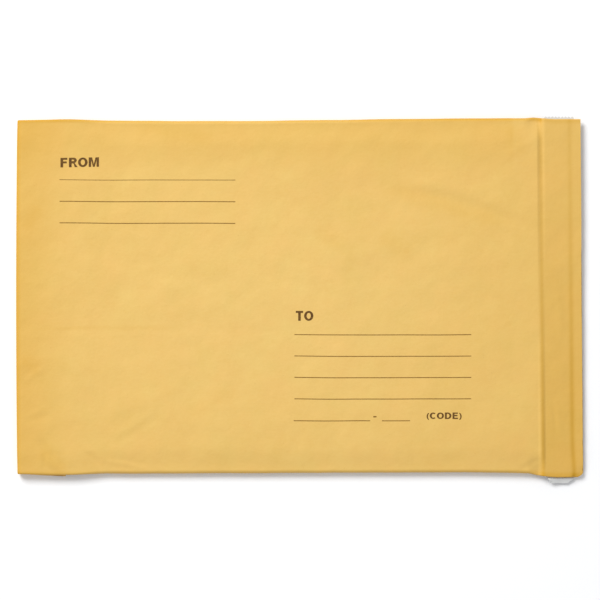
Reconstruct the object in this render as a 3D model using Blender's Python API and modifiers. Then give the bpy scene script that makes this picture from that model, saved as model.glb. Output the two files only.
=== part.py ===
"""Padded envelope: a flat kraft tube, folded under at its closed end, with a lip at its mouth.

It lies on z = 0 with the address side up. The mouth and its lip face +X, the folded-under end is at -X.
Lengths are in metres.
"""

import math

import bmesh
import bpy

COLLECTION = "padded_envelope"

# Driving dimensions of the paper tube
FLAT_WIDTH = 0.2667  # the flattened tube from side fold to side fold
LENGTH = 0.4204  # closed end to mouth, along the middle
LIP_LENGTH = 0.0303  # crease to mouth: the part of the tube with no padding
FLAP_LENGTH = 0.0385  # the part of the closed end that is folded under
PAPER = 0.0002  # thickness of either kraft sheet
CLEARANCE = 0.0003  # kept between neighbours that touch
BODY_THICKNESS = 0.0073  # the padded body, away from its side folds
EDGE_THICKNESS = 0.0052  # the padded body at its side folds
SHOULDER = 0.016  # over this width the body rises from its side fold to its full thickness
FLAT_THICKNESS = 0.0017  # lip: four papers and the gaps between them
END_THICKNESS = 0.0036  # pressed padding at the closed end, both above the fold and in the flap
POCKET = 0.0008  # the empty pocket's height inside the padded body
FLAT_POCKET = 0.0003  # the same in the lip

# Closed end
FOLD_RADIUS = 0.00025  # inside of the fold
FLAP_DROP = 0.030  # over this length the back comes down beside the flap's cut edge
FLAP_EDGE_GAP = 0.0018  # from the flap's cut edge to where the back starts down
FLAP_SKEW = 0.024  # the flap is folded a little out of square
FOLD_STEPS = 8

# Mouth
STEP_LENGTH = 0.0052  # the padded body steps down to the lip over this length, centred on the crease
SLANT = 0.0092  # the crease and the mouth are this much out of square
SLANT_START = -0.10  # x where the slant starts to grow
LIP_SHIFT = -0.0018  # the lip lies this far across from the body
BODY_DRIFT = 0.0011  # the body runs this much out of line over its length
LINER_SETBACK = 0.003  # the inner liner ends this far inside the outer sheet's edges

# Back seam
SEAM_Y = -0.022  # middle of the lap
LAP = 0.020  # width of the lap
JOGGLE = 0.0015  # the lower layer of the lap bends inwards over this width
MAT_TO_SEAM = 0.0135  # the padding stops this far from the middle of the lap
MAT_SETBACK = 0.006  # and this far inside the flap's cut edge

# Closure under the lip
BAND_WIDTH = 0.0185
BAND_LENGTH = 0.257
BAND_THICKNESS = 0.00015
STRIP_WIDTH = 0.0222
STRIP_THICKNESS = 0.00015
STRIP_INSET = 0.0034  # from the crease to the strip
STRIP_OVERHANG = 0.0014  # past the lip at +Y, where it is pinked
TAB_LENGTH = 0.0047  # past the lip at -Y
TAB_DROP = 0.0009  # the tab droops this much
TAB_TAPER = (0.0026, 0.0036)  # how far the tab's two corners are cut back
TOOTH = 0.0026  # pitch of the pinking
TOOTH_DEPTH = 0.0009

ARC_STEPS = 6
SHOULDER_STEPS = 3

END_FULLNESS = (END_THICKNESS - FLAT_THICKNESS) / (BODY_THICKNESS - FLAT_THICKNESS)
FOLD_OUTER = FOLD_RADIUS + END_THICKNESS
FLAP_HEIGHT = END_THICKNESS + 2 * FOLD_RADIUS
LIP_BOTTOM = (BODY_THICKNESS - FLAT_THICKNESS) / 2
LIP_HALF_WIDTH = (FLAT_WIDTH - (math.pi / 2 - 1) * FLAT_THICKNESS) / 2
# The mouth's far corner reaches past the middle of its edge, and the whole is centred on x = 0.
CORNER = SLANT * LIP_HALF_WIDTH
CLOSED_X = -(LENGTH + CORNER) / 2
MOUTH_X = CLOSED_X + LENGTH
CREASE_X = MOUTH_X - LIP_LENGTH
STEP_TOP_X = CREASE_X - STEP_LENGTH / 2
STEP_FOOT_X = CREASE_X + STEP_LENGTH / 2
FOLD_X = CLOSED_X + FOLD_OUTER
FLAP_END_X = CLOSED_X + FLAP_LENGTH
STRIP_TOP_Y = LIP_HALF_WIDTH + STRIP_OVERHANG
STRIP_END_Y = -LIP_HALF_WIDTH - TAB_LENGTH
# The release strip reaches further past one side than the other, and the whole is centred on y = 0.
CENTRE_Y = -LIP_SHIFT - (STRIP_TOP_Y + STRIP_END_Y) / 2


def smooth(value, start, end):
    """0 before start, 1 after end, and an even curve between them."""
    t = min(1.0, max(0.0, (value - start) / (end - start)))
    return t * t * (3 - 2 * t)


def over_flap_at(x):
    """1 where the flap lies under the body, and 0 where the body lies on the ground."""
    start = FLAP_END_X + FLAP_EDGE_GAP
    return 1 - smooth(x, start, start + FLAP_DROP)


def fullness_at(x):
    """0 where the tube is flat, and 1 where the padding has its full thickness."""
    pressed = (1 - END_FULLNESS) * over_flap_at(x)
    return (1 - pressed) * (1 - smooth(x, STEP_TOP_X, STEP_FOOT_X))


def bottom_at(x):
    """Height of the back's lowest face: over the flap, on the ground, then up to the lip."""
    to_lip = LIP_BOTTOM * smooth(x, STEP_TOP_X, STEP_FOOT_X)
    return FLAP_HEIGHT * over_flap_at(x) + to_lip


def across_at(x):
    """How far the tube's middle lies to one side."""
    drift = BODY_DRIFT * (smooth(x, CLOSED_X, CREASE_X) - 1)
    return drift + LIP_SHIFT * smooth(x, CREASE_X - 0.03, CREASE_X + 0.012)


def slant_at(x):
    """How far the section is turned out of square, as x per y."""
    return -SLANT * smooth(x, SLANT_START, CREASE_X)


def station_at(x, z, normal, fullness, across, slant):
    """A section of the tube: where it stands, which way its front faces, and its shape."""
    middle = FLAT_THICKNESS + (BODY_THICKNESS - FLAT_THICKNESS) * fullness
    edge = FLAT_THICKNESS + (EDGE_THICKNESS - FLAT_THICKNESS) * fullness
    width = FLAT_WIDTH - (math.pi / 2 - 1) * edge
    return {
        "x": x, "z": z, "normal": normal, "middle": middle / 2, "edge": edge / 2,
        "side": (width - edge) / 2, "across": across, "slant": slant,
    }


def run_station(x):
    """A section of the tube where it lies face up."""
    fullness = fullness_at(x)
    half = (FLAT_THICKNESS + (BODY_THICKNESS - FLAT_THICKNESS) * fullness) / 2
    return station_at(x, bottom_at(x) + half, (0.0, 1.0), fullness, across_at(x), slant_at(x))


def fold_station(angle):
    """A section part of the way round the fold at the closed end, from 90 to 270 degrees."""
    radius = FOLD_RADIUS + END_THICKNESS / 2
    normal = (math.cos(angle), math.sin(angle))
    x = FOLD_X + radius * normal[0]
    z = FOLD_OUTER + radius * normal[1]
    return station_at(x, z, normal, END_FULLNESS, across_at(FOLD_X), 0.0)


def flap_station(x):
    """A section of the flap, which lies face down under the body."""
    along = x - FOLD_X
    across = across_at(FOLD_X) - FLAP_SKEW * along
    slant = -FLAP_SKEW * along / FLAP_LENGTH
    return station_at(x, END_THICKNESS / 2, (0.0, -1.0), END_FULLNESS, across, slant)


def spaced(start, end, count):
    """count even steps from start to end, without the last point."""
    return [start + (end - start) * i / count for i in range(count)]


def body_places(first, last):
    """Where the sections along the body go, from the mouth end to the closed end."""
    dip = FLAP_END_X + FLAP_EDGE_GAP
    places = spaced(STEP_FOOT_X, STEP_TOP_X, 6) + spaced(STEP_TOP_X, dip + FLAP_DROP, 5)
    places += spaced(dip + FLAP_DROP, dip, 6) + spaced(dip, FOLD_X, 3)
    kept = [x for x in places if last + 0.0004 < x < first - 0.0004]
    return [first] + kept + [last]


def stations_from(first, inset):
    """Every section from first, along the body, round the fold and along the flap."""
    stations = [run_station(x) for x in body_places(first, FOLD_X)]
    stations += [fold_station(math.pi * (0.5 + i / FOLD_STEPS)) for i in range(1, FOLD_STEPS)]
    stations += [flap_station(x) for x in spaced(FOLD_X, FLAP_END_X - inset, 3)]
    return stations + [flap_station(FLAP_END_X - inset)]


def shoulder(face, side, outwards):
    """Places across one shoulder of the front (face 1) or the back (face -1)."""
    insets = [SHOULDER * i / SHOULDER_STEPS for i in range(SHOULDER_STEPS + 1)]
    return [("shoulder", inset, face, side) for inset in insets[::-1 if outwards else 1]]


def side_fold(start):
    """Places round one side fold, from an angle on through half a turn, without its ends."""
    return [("fold", start + math.pi * i / ARC_STEPS) for i in range(1, ARC_STEPS)]


def wrap_path(start_y, end_y):
    """Places round the section: along the back, round the far side fold, over the front, and back."""
    path = [("back", start_y)] + shoulder(-1, 1, True) + side_fold(-math.pi / 2)
    path += shoulder(1, 1, False) + shoulder(1, -1, True) + side_fold(math.pi / 2)
    return path + shoulder(-1, -1, False) + [("back", end_y)]


def half_at(place, station):
    """Half the height of the section at a place."""
    if place[0] == "back":
        return station["middle"]
    if place[0] == "fold":
        return station["edge"]
    rise = smooth(place[1], 0.0, SHOULDER)
    return station["edge"] + (station["middle"] - station["edge"]) * rise


def section_point(place, station, depth):
    """(y, height) of a place on the section, depth below the tube's outer face."""
    reach = half_at(place, station) - depth
    if place[0] == "back":
        return place[1], -reach
    if place[0] == "fold":
        turn = place[1]
        centre = math.copysign(station["side"], math.pi / 2 - turn)
        return centre + reach * math.cos(turn), reach * math.sin(turn)
    _kind, inset, face, side = place
    return side * (station["side"] - inset), face * reach


def place_point(point, station):
    """A point of the section, put where the station is."""
    y, height = point
    y += station["across"] + CENTRE_Y
    x = station["x"] + height * station["normal"][0] + y * station["slant"]
    return x, y, station["z"] + height * station["normal"][1]


def new_object(name, bm, material):
    """An object in the envelope's collection, from a bmesh."""
    mesh = bpy.data.meshes.new(name)
    bm.to_mesh(mesh)
    bm.free()
    mesh.materials.append(material)
    obj = bpy.data.objects.new(name, mesh)
    bpy.data.collections[COLLECTION].objects.link(obj)
    return obj


def wrap(name, material, stations, path, outer_depth, inner_depth):
    """A sheet wrapped into a tube. outer_depth and inner_depth give its two faces.

    Each takes a place's index in the path and half the section's height there.
    """
    bm = bmesh.new()
    rings = []
    for station in stations:
        halves = [half_at(place, station) for place in path]
        outer = [section_point(p, station, outer_depth(i, halves[i])) for i, p in enumerate(path)]
        inner = [section_point(p, station, inner_depth(i, halves[i])) for i, p in enumerate(path)]
        loop = outer + inner[::-1]
        rings.append([bm.verts.new(place_point(point, station)) for point in loop])
    count = len(rings[0])
    for ring, following in zip(rings, rings[1:]):
        for i in range(count):
            j = (i + 1) % count
            bm.faces.new((ring[i], following[i], following[j], ring[j]))
    for ring, turn in ((rings[0], 1), (rings[-1], -1)):
        for i in range(len(path) - 1):
            corners = (ring[i], ring[i + 1], ring[count - 2 - i], ring[count - 1 - i])
            bm.faces.new(corners[::turn])
    return new_object(name, bm, material)


def make_material(name, colour, roughness):
    """A plain finish."""
    material = bpy.data.materials.new(name)
    material.use_nodes = True
    shader = material.node_tree.nodes["Principled BSDF"]
    shader.inputs["Base Color"].default_value = (*colour, 1.0)
    shader.inputs["Roughness"].default_value = roughness
    shader.inputs["Metallic"].default_value = 0.0
    return material


def make_outer_sheet():
    """The kraft sheet, rolled into a tube whose edges lap on the back."""
    path = wrap_path(SEAM_Y - LAP / 2, SEAM_Y - LAP / 2 - CLEARANCE - JOGGLE)
    bend = len(path)
    path += [("back", SEAM_Y - LAP / 2 - CLEARANCE), ("back", SEAM_Y + LAP / 2)]

    def outer_depth(index, _half):
        return PAPER + CLEARANCE if index >= bend else 0.0

    def inner_depth(index, half):
        return outer_depth(index, half) + PAPER

    material = make_material("golden_kraft", (0.80, 0.52, 0.16), 0.62)
    return wrap("outer_sheet", material, stations_from(MOUTH_X, 0.0), path, outer_depth, inner_depth)


def liner_depth(half):
    """Depth of the inner liner's outer face, which leaves the pocket between its two walls."""
    share = (2 * half - FLAT_THICKNESS) / (BODY_THICKNESS - FLAT_THICKNESS)
    pocket = FLAT_POCKET + (POCKET - FLAT_POCKET) * share
    return half - pocket / 2 - PAPER


def make_inner_liner():
    """The thin kraft sheet inside the padding, whose edges stop beside the lap."""
    path = wrap_path(SEAM_Y + MAT_TO_SEAM, SEAM_Y - MAT_TO_SEAM)
    material = make_material("plain_kraft", (0.62, 0.42, 0.22), 0.75)
    return wrap(
        "inner_liner", material, stations_from(MOUTH_X - LINER_SETBACK, LINER_SETBACK), path,
        lambda _index, half: liner_depth(half),
        lambda _index, half: liner_depth(half) + PAPER,
    )


def make_padding_mat():
    """The soft mat between the two sheets, from the crease to the end of the flap."""
    path = wrap_path(SEAM_Y + MAT_TO_SEAM, SEAM_Y - MAT_TO_SEAM)
    material = make_material("macerated_paper", (0.45, 0.43, 0.40), 0.95)
    return wrap(
        "padding_mat", material, stations_from(CREASE_X, MAT_SETBACK), path,
        lambda _index, _half: PAPER + CLEARANCE,
        lambda _index, half: liner_depth(half) - CLEARANCE,
    )


def solidify(obj, thickness):
    """Thickness downwards from an open surface."""
    modifier = obj.modifiers.new("thickness", "SOLIDIFY")
    modifier.thickness = thickness
    modifier.offset = -1.0
    modifier.use_even_offset = True


def lip_place(x, y):
    """A point under the lip, turned out of square with it."""
    y += LIP_SHIFT + CENTRE_Y
    return x + y * slant_at(MOUTH_X), y


def make_adhesive_band():
    """The pressure-sensitive band on the lip's underside."""
    bm = bmesh.new()
    left = CREASE_X + STRIP_INSET + (STRIP_WIDTH - BAND_WIDTH) / 2
    corners = [(left, -1), (left + BAND_WIDTH, -1), (left + BAND_WIDTH, 1), (left, 1)]
    top = LIP_BOTTOM - CLEARANCE
    points = [(*lip_place(x, side * BAND_LENGTH / 2), top) for x, side in corners]
    bm.faces.new([bm.verts.new(point) for point in points])
    obj = new_object("adhesive_band", bm, make_material("clear_adhesive", (0.78, 0.66, 0.38), 0.35))
    solidify(obj, BAND_THICKNESS)
    return obj


def strip_rows():
    """(y, drop, how much of the tab's taper) along the release strip, from its tab to its pinked end."""
    rows = []
    for i in range(5):
        along = i / 4
        droop = TAB_DROP * (1 - along) ** 1.5
        rows.append((STRIP_END_Y + TAB_LENGTH * along, droop, 1 - along))
    return rows + [(-0.06, 0.0, 0.0), (0.06, 0.0, 0.0), (STRIP_TOP_Y - TOOTH_DEPTH * 1.5, 0.0, 0.0)]


def make_release_liner():
    """The peel-off strip: pinked at one end, with a drooping tab at the other."""
    bm = bmesh.new()
    left = CREASE_X + STRIP_INSET
    columns = 2 * round(STRIP_WIDTH / TOOTH)
    top = LIP_BOTTOM - 2 * CLEARANCE - BAND_THICKNESS
    rings = []
    for y, droop, taper in strip_rows():
        start = left + TAB_TAPER[0] * taper
        width = STRIP_WIDTH - (TAB_TAPER[0] + TAB_TAPER[1]) * taper
        row = [(*lip_place(start + width * i / columns, y), top - droop) for i in range(columns + 1)]
        rings.append([bm.verts.new(point) for point in row])
    teeth = []
    for i in range(columns + 1):
        y = STRIP_TOP_Y - TOOTH_DEPTH * ((i + 1) % 2)
        teeth.append(bm.verts.new((*lip_place(left + STRIP_WIDTH * i / columns, y), top)))
    rings.append(teeth)
    for ring, following in zip(rings, rings[1:]):
        for i in range(columns):
            bm.faces.new((ring[i], ring[i + 1], following[i + 1], following[i]))
    obj = new_object("release_liner", bm, make_material("white_release_paper", (0.86, 0.86, 0.85), 0.45))
    solidify(obj, STRIP_THICKNESS)
    return obj


def clear_scene():
    for obj in list(bpy.data.objects):
        bpy.data.objects.remove(obj, do_unlink=True)


def main():
    clear_scene()
    collection = bpy.data.collections.new(COLLECTION)
    bpy.context.scene.collection.children.link(collection)
    make_outer_sheet()
    make_padding_mat()
    make_inner_liner()
    make_adhesive_band()
    make_release_liner()


main()
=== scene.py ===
import math

import bmesh
import bpy
import numpy as np
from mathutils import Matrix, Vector, noise
from mathutils.bvhtree import BVHTree


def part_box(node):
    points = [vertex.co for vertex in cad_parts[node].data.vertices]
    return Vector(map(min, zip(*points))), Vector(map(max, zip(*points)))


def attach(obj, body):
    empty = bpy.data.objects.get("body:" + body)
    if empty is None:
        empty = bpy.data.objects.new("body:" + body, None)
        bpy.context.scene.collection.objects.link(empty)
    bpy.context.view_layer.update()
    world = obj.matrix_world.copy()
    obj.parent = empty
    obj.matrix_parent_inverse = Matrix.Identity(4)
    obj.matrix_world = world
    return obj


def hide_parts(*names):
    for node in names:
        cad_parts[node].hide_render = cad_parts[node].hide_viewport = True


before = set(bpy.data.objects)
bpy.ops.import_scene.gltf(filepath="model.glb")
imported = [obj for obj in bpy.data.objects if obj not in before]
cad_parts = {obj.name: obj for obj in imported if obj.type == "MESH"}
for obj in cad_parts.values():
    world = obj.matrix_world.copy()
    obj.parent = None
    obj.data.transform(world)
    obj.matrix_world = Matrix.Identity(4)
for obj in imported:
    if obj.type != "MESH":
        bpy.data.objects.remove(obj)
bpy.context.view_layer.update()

mm = 0.001


# How the paper tube is folded. Lengths are in metres.
tube = {
    "flatWidth": 0.2667,        # flattened, from side fold to side fold
    "lipLength": 0.0303,        # crease to mouth
    "flapLength": 0.0385,       # folded under at the closed end
    "paper": 0.0002,
    "clearance": 0.0003,        # between neighbours that touch
    "bodyThickness": 0.0073,
    "edgeThickness": 0.0050,    # at the side folds
    "flatThickness": 0.0017,
    "shoulder": 0.017,          # rise from a side fold to the full thickness
    "endThickness": 0.0036,     # pressed padding, both above the end fold and in the flap
    "foldRadius": 0.00025,      # inside of the end fold
    "flapEdgeGap": 0.0018,      # from the flap's cut edge to where the back starts down
    "flapDrop": 0.030,          # and over this length it comes down to the table
    "stepLength": 0.0052,       # the drop from the padding to the lip, centred on the crease
    "slant": 0.0092,            # the mouth is this much out of square
    "slantStart": -0.10,        # and from this x on
    "lipShift": -0.0018,        # the lip lies this far across from the body
    "shiftOver": 0.012,         # either side of the crease
    "sideStep": (0.012, 0.003),  # before the crease, where the side folds start and end their drop
    "bodyDrift": 0.0011,        # the body runs this much out of line
    "pocket": 0.0008,           # its height when empty
    "flatPocket": 0.0003,       # and in the lip
}

# The lap along the back. The padding stops matGap from its middle on both sides.
seam = {"y": -0.022, "lap": 0.020, "joggle": 0.0015, "matGap": 0.0135}

# Where the paper departs from a clean fold
handling = {
    "flapSkew": 0.046,          # the flap runs out from under one side
    "flapTrim": 0.0045,         # and is cut a little short
    "flapSlant": 0.024,         # and out of square
    "foldPress": 1.8,           # the end fold is pressed to a squarer edge than a round one
    "closedPinch": 0.0008,      # the closed end is a little narrower
    "closedBow": 0.0009,        # and bows outwards in the middle
    "lipLift": 0.0022,          # the lip at the crease
    "lipDroop": 0.0024,         # the lip at the mouth, below its place at the crease
    "cornerRound": 0.0050,      # the mouth's worn corner
    "cornerCut": 0.0044,        # and how far it is worn back
    "dogEar": 0.0006,           # the same corner bends down
    "frontShort": 0.0004,       # the front wall stops short of the back wall at the mouth
    "bandEdge": 0.0082,         # from the mouth to the strip's edge, which shows through
    "bandStep": 0.00050,        # the drop over that edge
    "bandSkew": 0.0012,         # that line leans at the near end
    "rim": 0.00022,             # past it the lip comes up again
    "mouthRag": 0.00016,        # the mouth's edge wanders
    "nicks": ((-0.1048, 0.0009), (-0.1255, 0.0008)),  # y and width of each, in the front wall's edge
    "nickDepth": 0.0007,
    "lapShows": 0.00010,        # the back lap shows through as a faint hollow
    "farBow": 0.0015,           # the side folds run a little inwards
    "nearBow": 0.0005,
    "lipFlare": 0.0004,         # and the lip a little outwards, on one side
    "sideWave": 0.00022,        # small waves along the side folds
    "cockle": 0.00030,          # shallow waves all over the paper
    "swell": 0.00045,           # broad unevenness of the padding
}

outerLow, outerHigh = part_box("outer_sheet")
closedX = outerLow.x
lipHalf = (tube["flatWidth"] - (math.pi / 2 - 1) * tube["flatThickness"]) / 2
mouthX = outerHigh.x - tube["slant"] * lipHalf
creaseX = mouthX - tube["lipLength"]
foldOuter = tube["foldRadius"] + tube["endThickness"]
endFull = (tube["endThickness"] - tube["flatThickness"]) / (tube["bodyThickness"] - tube["flatThickness"])
foldX = closedX + foldOuter
flapEndX = closedX + tube["flapLength"]
flapHeight = tube["endThickness"] + 2 * tube["foldRadius"]
lipBottom = (tube["bodyThickness"] - tube["flatThickness"]) / 2
lipY = (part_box("adhesive_band")[0].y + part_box("adhesive_band")[1].y) / 2
bodyY = lipY - tube["lipShift"]


def smooth(value, start, end):
    t = np.clip((value - start) / (end - start), 0.0, 1.0)
    return t * t * (3 - 2 * t)


def bell(value, middle, width):
    return np.exp(-((value - middle) / width) ** 2)


def overFlap(x):
    start = flapEndX + tube["flapEdgeGap"]
    return 1 - smooth(x, start, start + tube["flapDrop"])


# 0 where the tube lies flat, 1 where the padding is full
def fullness(x, stepStart, stepEnd):
    pressed = (1 - endFull) * overFlap(x)
    return (1 - pressed) * (1 - smooth(x, stepStart, stepEnd))


def station(x, z, normal, full, edgeFull, across, slant):
    flat = tube["flatThickness"]
    edge = flat + (tube["edgeThickness"] - flat) * edgeFull
    width = tube["flatWidth"] - (math.pi / 2 - 1) * edge
    return {
        "x": x, "z": z, "normal": normal, "across": across, "slant": slant,
        "middle": (flat + (tube["bodyThickness"] - flat) * full) / 2,
        "edge": edge / 2, "side": (width - edge) / 2,
    }


def acrossAt(x):
    drift = tube["bodyDrift"] * (smooth(x, closedX, creaseX) - 1)
    over = tube["shiftOver"]
    return bodyY + drift + tube["lipShift"] * smooth(x, creaseX - over, creaseX + over)


def runStation(x):
    stepStart, stepEnd = creaseX - tube["stepLength"] / 2, creaseX + tube["stepLength"] / 2
    full = fullness(x, stepStart, stepEnd)
    edgeFull = fullness(x, creaseX - tube["sideStep"][0], creaseX - tube["sideStep"][1])
    half = (tube["flatThickness"] + (tube["bodyThickness"] - tube["flatThickness"]) * full) / 2
    toLip = lipBottom * smooth(x, stepStart, stepEnd)
    z = flapHeight * overFlap(x) + toLip + half
    slant = -tube["slant"] * smooth(x, tube["slantStart"], creaseX)
    return station(x, z, (0.0, 1.0), full, edgeFull, acrossAt(x), slant)


def foldStation(angle):
    radius = tube["foldRadius"] + tube["endThickness"] / 2
    normal = (math.cos(angle), math.sin(angle))
    x, z = foldX + radius * normal[0], foldOuter + radius * normal[1]
    return station(x, z, normal, endFull, endFull, acrossAt(foldX), 0.0)


def flapStation(x):
    along = x - foldX
    across = acrossAt(foldX) - handling["flapSkew"] * along
    slant = -handling["flapSlant"] * along / tube["flapLength"]
    return station(x, tube["endThickness"] / 2, (0.0, -1.0), endFull, endFull, across, slant)


def steps(start, end, pitch):
    count = max(1, round(abs(end - start) / pitch))
    return [start + (end - start) * i / count for i in range(count)]


# Sections along the tube. fineness widens or narrows every pitch.
def tubeStations(inset, fineness=1.0):
    dip = flapEndX + tube["flapDrop"]
    f = fineness
    places = steps(mouthX - inset, creaseX + 0.003, 1.15 * mm * f)
    places += steps(creaseX + 0.003, creaseX - 0.004, 0.36 * mm * f)
    places += steps(creaseX - 0.004, creaseX - 0.016, 1.0 * mm * f)
    places += steps(creaseX - 0.016, dip, 2.7 * mm * f)
    places += steps(dip, foldX, 1.7 * mm * f) + [foldX]
    stations = [runStation(x) for x in places]
    turns = max(6, round(12 / f))
    stations += [foldStation(math.pi * (0.5 + i / turns)) for i in range(1, turns)]
    flapStop = flapEndX - handling["flapTrim"] - inset
    flap = steps(foldX, flapStop, 3.4 * mm * f) + [flapStop]
    return stations + [flapStation(x) for x in flap]


# Places round a section: u runs across from -1 to 1 at the side folds, and turn goes round a fold.
def flatPlaces(face, start, end, pitch, finePitch, fineWidth):
    side = runStation(0.0)["side"]
    near = [0.0]
    while near[-1] < fineWidth:
        near.append(near[-1] + finePitch * (1 + near[-1] / fineWidth))
    inner = steps(1 - near[-1] / side, -1 + near[-1] / side, pitch / side)
    ys = [1 - n / side for n in near[:-1]] + inner + [-1 + n / side for n in near[::-1]]
    ys = ys if face > 0 else ys[::-1]
    ys = [u for u in ys if min(start, end) - 1e-9 <= u <= max(start, end) + 1e-9]
    return [(face, u, None) for u in ys]


def wrapPath(startY, endY, fineness=1.0):
    side = runStation(0.0)["side"]
    f = fineness
    turns = max(4, round(9 / f))
    farFold = [(0, 1.0, -math.pi / 2 + math.pi * i / turns) for i in range(1, turns)]
    nearFold = [(0, -1.0, math.pi / 2 + math.pi * i / turns) for i in range(1, turns)]
    back = [(-1, (startY - bodyY) / side, None)]
    back += flatPlaces(-1, back[0][1] + 0.006, 1, 6 * mm * f, 1.2 * mm * f, 0.012)
    back += farFold + flatPlaces(1, 1, -1, 2.3 * mm * f, 0.7 * mm * f, 0.016) + nearFold
    endU = (endY - bodyY) / side
    return back + flatPlaces(-1, -1, endU - 0.006, 6 * mm * f, 1.2 * mm * f, 0.012) + [(-1, endU, None)]


def halfAt(face, u, st):
    if face == 0:
        return st["edge"]
    rise = smooth(st["side"] * (1 - abs(u)), 0.0, tube["shoulder"])
    return st["edge"] + (st["middle"] - st["edge"]) * rise


print("tube sizes ready, crease at", round(creaseX, 4))


# Each wrinkle: start and end (x, y), width, height, and how far it bows sideways
wrinkles = {
    "longDiagonal": ((0.073, 0.082), (0.166, 0.056), 0.0040, -0.00048, 0.004),
    "smileDent": ((0.0145, 0.0450), (0.0305, 0.0455), 0.0011, -0.00033, -0.0016),
    "shortNick": ((0.157, 0.112), (0.165, 0.110), 0.0012, -0.00022, 0.0),
    "upperStress": ((0.150, 0.104), (0.176, 0.118), 0.0030, 0.00021, 0.002),
    "cornerA": ((-0.204, -0.061), (-0.189, -0.050), 0.0016, 0.00030, 0.001),
    "cornerB": ((-0.204, -0.092), (-0.185, -0.086), 0.0015, -0.00034, 0.0015),
    "cornerC": ((-0.197, -0.108), (-0.178, -0.127), 0.0022, 0.00049, -0.001),
    "cornerD": ((-0.192, -0.104), (-0.181, -0.118), 0.0016, -0.00038, 0.001),
    "cornerE": ((-0.190, -0.127), (-0.1895, -0.113), 0.0012, -0.00030, 0.0),
    "cornerF": ((-0.160, -0.113), (-0.148, -0.124), 0.0020, -0.00038, 0.001),
    "cornerG": ((-0.137, -0.105), (-0.103, -0.083), 0.0024, -0.00030, -0.002),
    "cornerH": ((-0.144, -0.120), (-0.112, -0.127), 0.0018, 0.00027, 0.001),
    "lipBottom": ((0.187, -0.075), (0.190, -0.102), 0.0018, -0.00021, 0.001),
    "lipMiddle": ((0.190, 0.018), (0.194, -0.030), 0.0026, 0.00015, 0.001),
    "flare": ((0.163, -0.128), (0.178, -0.118), 0.0022, -0.00030, 0.001),
    "middleSag": ((-0.030, 0.020), (0.030, -0.004), 0.0060, -0.00021, 0.004),
    "leftSag": ((-0.150, 0.030), (-0.080, 0.010), 0.0060, 0.00019, -0.006),
}


# Distance across a wrinkle and how far along it, from 0 to 1
def wrinkleReach(x, y, start, end, bow):
    (x0, y0), (x1, y1) = start, end
    length = math.hypot(x1 - x0, y1 - y0)
    ux, uy = (x1 - x0) / length, (y1 - y0) / length
    along = ((x - x0) * ux + (y - y0) * uy) / length
    aside = (y - y0) * ux - (x - x0) * uy
    return aside - bow * 4 * along * (1 - along), along


def wrinkleHeight(x, y):
    total = np.zeros_like(x)
    for start, end, wide, high, bow in wrinkles.values():
        aside, along = wrinkleReach(x, y, start, end, bow)
        taper = smooth(along, -0.15, 0.3) * (1 - smooth(along, 0.7, 1.15))
        fold = bell(aside, 0, wide) - 0.45 * bell(aside, wide * 1.6, wide * 1.3)
        total += high * fold * taper
    return total


def noiseAt(x, y, size, seed):
    return np.array([noise.noise(Vector((a / size, b / size, seed))) for a, b in zip(x, y)])


# How high the front wall stands off its clean fold
def frontRelief(x, y):
    swell = noiseAt(x, y, 0.060, 3.1) + 0.5 * noiseAt(x, y, 0.028, 7.7)
    cockle = noiseAt(x * 0.8, y, 0.0200, 12.3) + 0.5 * noiseAt(x, y, 0.0100, 19.4)
    onBody = smooth(x, closedX + 0.004, closedX + 0.03) * (1 - smooth(x, creaseX - 0.01, creaseX))
    sides = smooth(lipHalf - abs(y - bodyY), 0.001, 0.014)
    lapLine = handling["lapShows"] * bell(y, seam["y"], 0.0016) * (1 - smooth(x, -0.02, 0.02))
    height = handling["swell"] * swell * onBody * sides
    height += handling["cockle"] * cockle * (0.35 + 0.65 * sides)
    return height + wrinkleHeight(x, y) - lapLine


# Where the strip's edge shows through the lip
def bandLineAt(y):
    straight = mouthX - handling["bandEdge"] - tube["slant"] * y
    return straight + handling["bandSkew"] * smooth(-y, 0.10, 0.132)


# The lip lifts at the crease, droops to the mouth, and steps down over the strip's edge
def lipDrop(x, y):
    onLip = smooth(x, creaseX - tube["stepLength"] / 2, creaseX + tube["stepLength"] / 2)
    along = (x - creaseX) / tube["lipLength"]
    lower = smooth(-y, -0.12, 0.13)
    droop = handling["lipDroop"] * (0.55 + 0.45 * lower) * np.clip(along, 0, 1.1)
    edge = bandLineAt(y)
    step = handling["bandStep"] * (0.35 + 0.65 * lower) * smooth(x, edge - 0.0014, edge + 0.0012)
    rim = handling["rim"] * smooth(x, edge + 0.001, mouthX)
    return onLip * (handling["lipLift"] - droop) - step * onLip + rim * onLip


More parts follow.
